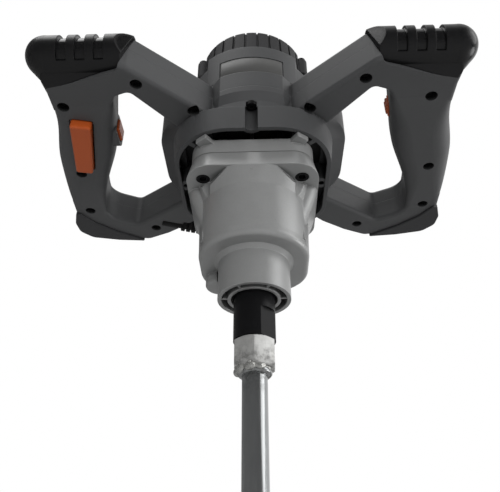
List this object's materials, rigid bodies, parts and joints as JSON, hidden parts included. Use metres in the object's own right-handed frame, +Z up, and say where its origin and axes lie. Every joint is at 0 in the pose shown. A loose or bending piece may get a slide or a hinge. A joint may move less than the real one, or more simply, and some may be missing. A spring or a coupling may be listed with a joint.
{
  "type": "mixing drill",
  "caption": "Two-handled mixing drill with a horizontal twin-D frame, an upright motor, a geared spindle with a clamping collar and a screwed-in stirrer.",
  "frame": {"origin": "centre of the end face of the gear housing's clamping collar, on the spindle axis", "axes": "+Z up along the spindle towards the motor, +X towards the right grip, -Y towards the front of the tool"},
  "size_m": [0.2826, 0.1848, 0.7836],
  "materials": {
    "frame_plastic": "fine moulded texture",
    "cap_plastic": "fine moulded texture",
    "bumper_rubber": "satin",
    "pad_rubber": "satin",
    "control_orange": "satin",
    "black_screws": "black oxide",
    "pin_steel": "ground",
    "switch_plastic": "moulded",
    "gland_rubber": "satin",
    "cast_aluminium": "silver paint on a die casting",
    "gear_steel": "ground",
    "bush_bronze": "sintered",
    "spindle_black": "black oxide",
    "bearing_steel": "polished",
    "seal_rubber": "satin",
    "core_steel": "laminated sheet",
    "copper": "enamelled wire and copper bars",
    "fan_plastic": "moulded",
    "brush_carbon": "pressed carbon",
    "holder_brass": "stamped",
    "zinc_steel": "zinc plated"
  },
  "bodies": {
    "housing": {"lower_shell": "frame_plastic", "upper_shell": "frame_plastic", "motor_end_cap": "cap_plastic", "right_bumper": "bumper_rubber", "left_bumper": "bumper_rubber", "right_rear_pad": "pad_rubber", "left_rear_pad": "pad_rubber", "handle_screws": "black_screws", "cap_screws": "black_screws", "gearbox_screws": "black_screws", "trigger_pin": "pin_steel", "switch_body": "switch_plastic", "speed_module": "switch_plastic", "cord_gland": "gland_rubber", "gear_housing": "cast_aluminium", "gear_plate": "cast_aluminium", "layshaft_low_bush": "bush_bronze", "layshaft_high_bush": "bush_bronze", "spindle_low_bearing": "bearing_steel", "spindle_high_bearing": "bearing_steel", "armature_low_bearing": "bearing_steel", "armature_high_bearing": "bearing_steel", "spindle_seal": "seal_rubber", "field_core": "core_steel", "field_coils": "copper", "fan_baffle": "fan_plastic", "carbon_brushes": "brush_carbon", "brush_holders": "holder_brass"},
    "spindle_set": {"spindle": "spindle_black", "output_gear": "gear_steel", "retaining_ring": "bearing_steel", "stirrer_hex": "zinc_steel", "stirrer_rod": "zinc_steel", "stirrer_blades": "zinc_steel", "stirrer_hoop": "zinc_steel"},
    "layshaft_set": {"layshaft": "gear_steel", "layshaft_gear": "gear_steel"},
    "armature_set": {"armature_shaft": "gear_steel", "armature_core": "core_steel", "armature_windings": "copper", "commutator": "copper", "cooling_fan": "fan_plastic"},
    "trigger_set": {"trigger": "control_orange"},
    "button_set": {"lock_button": "control_orange"},
    "dial_set": {"speed_dial": "control_orange"}
  },
  "joints": [
    {"name": "spindle_spin", "type": "hinge", "parent": "housing", "child": "spindle_set", "pos_m": [0, 0, 0], "axis": [0, 0, 1], "continuous": true},
    {"name": "layshaft_spin", "type": "hinge", "parent": "housing", "child": "layshaft_set", "pos_m": [0, 0.02, 0], "axis": [0, 0, 1], "continuous": true},
    {"name": "armature_spin", "type": "hinge", "parent": "housing", "child": "armature_set", "pos_m": [0, 0, 0], "axis": [0, 0, 1], "continuous": true},
    {"name": "trigger_pull", "type": "hinge", "parent": "housing", "child": "trigger_set", "pos_m": [-0.10855, -0.03467, 0.1136], "axis": [0.982, 0.1888, 0], "range_deg": [0, 5], "stiffness_Nm_per_rad": 1, "springref_deg": -5.73},
    {"name": "button_press", "type": "slide", "parent": "housing", "child": "button_set", "axis": [-1, 0, 0], "range_m": [0, 0.0025], "stiffness_N_per_m": 400, "springref_m": -0.002},
    {"name": "dial_turn", "type": "hinge", "parent": "housing", "child": "dial_set", "pos_m": [0.096, -0.032, 0.1244], "axis": [0, 0, 1], "range_deg": [0, 270]}
  ],
  "couplings": [
    {"joint": "layshaft_spin", "follows": "spindle_spin", "ratio": -3.4444},
    {"joint": "armature_spin", "follows": "spindle_spin", "ratio": 15.691}
  ]
}
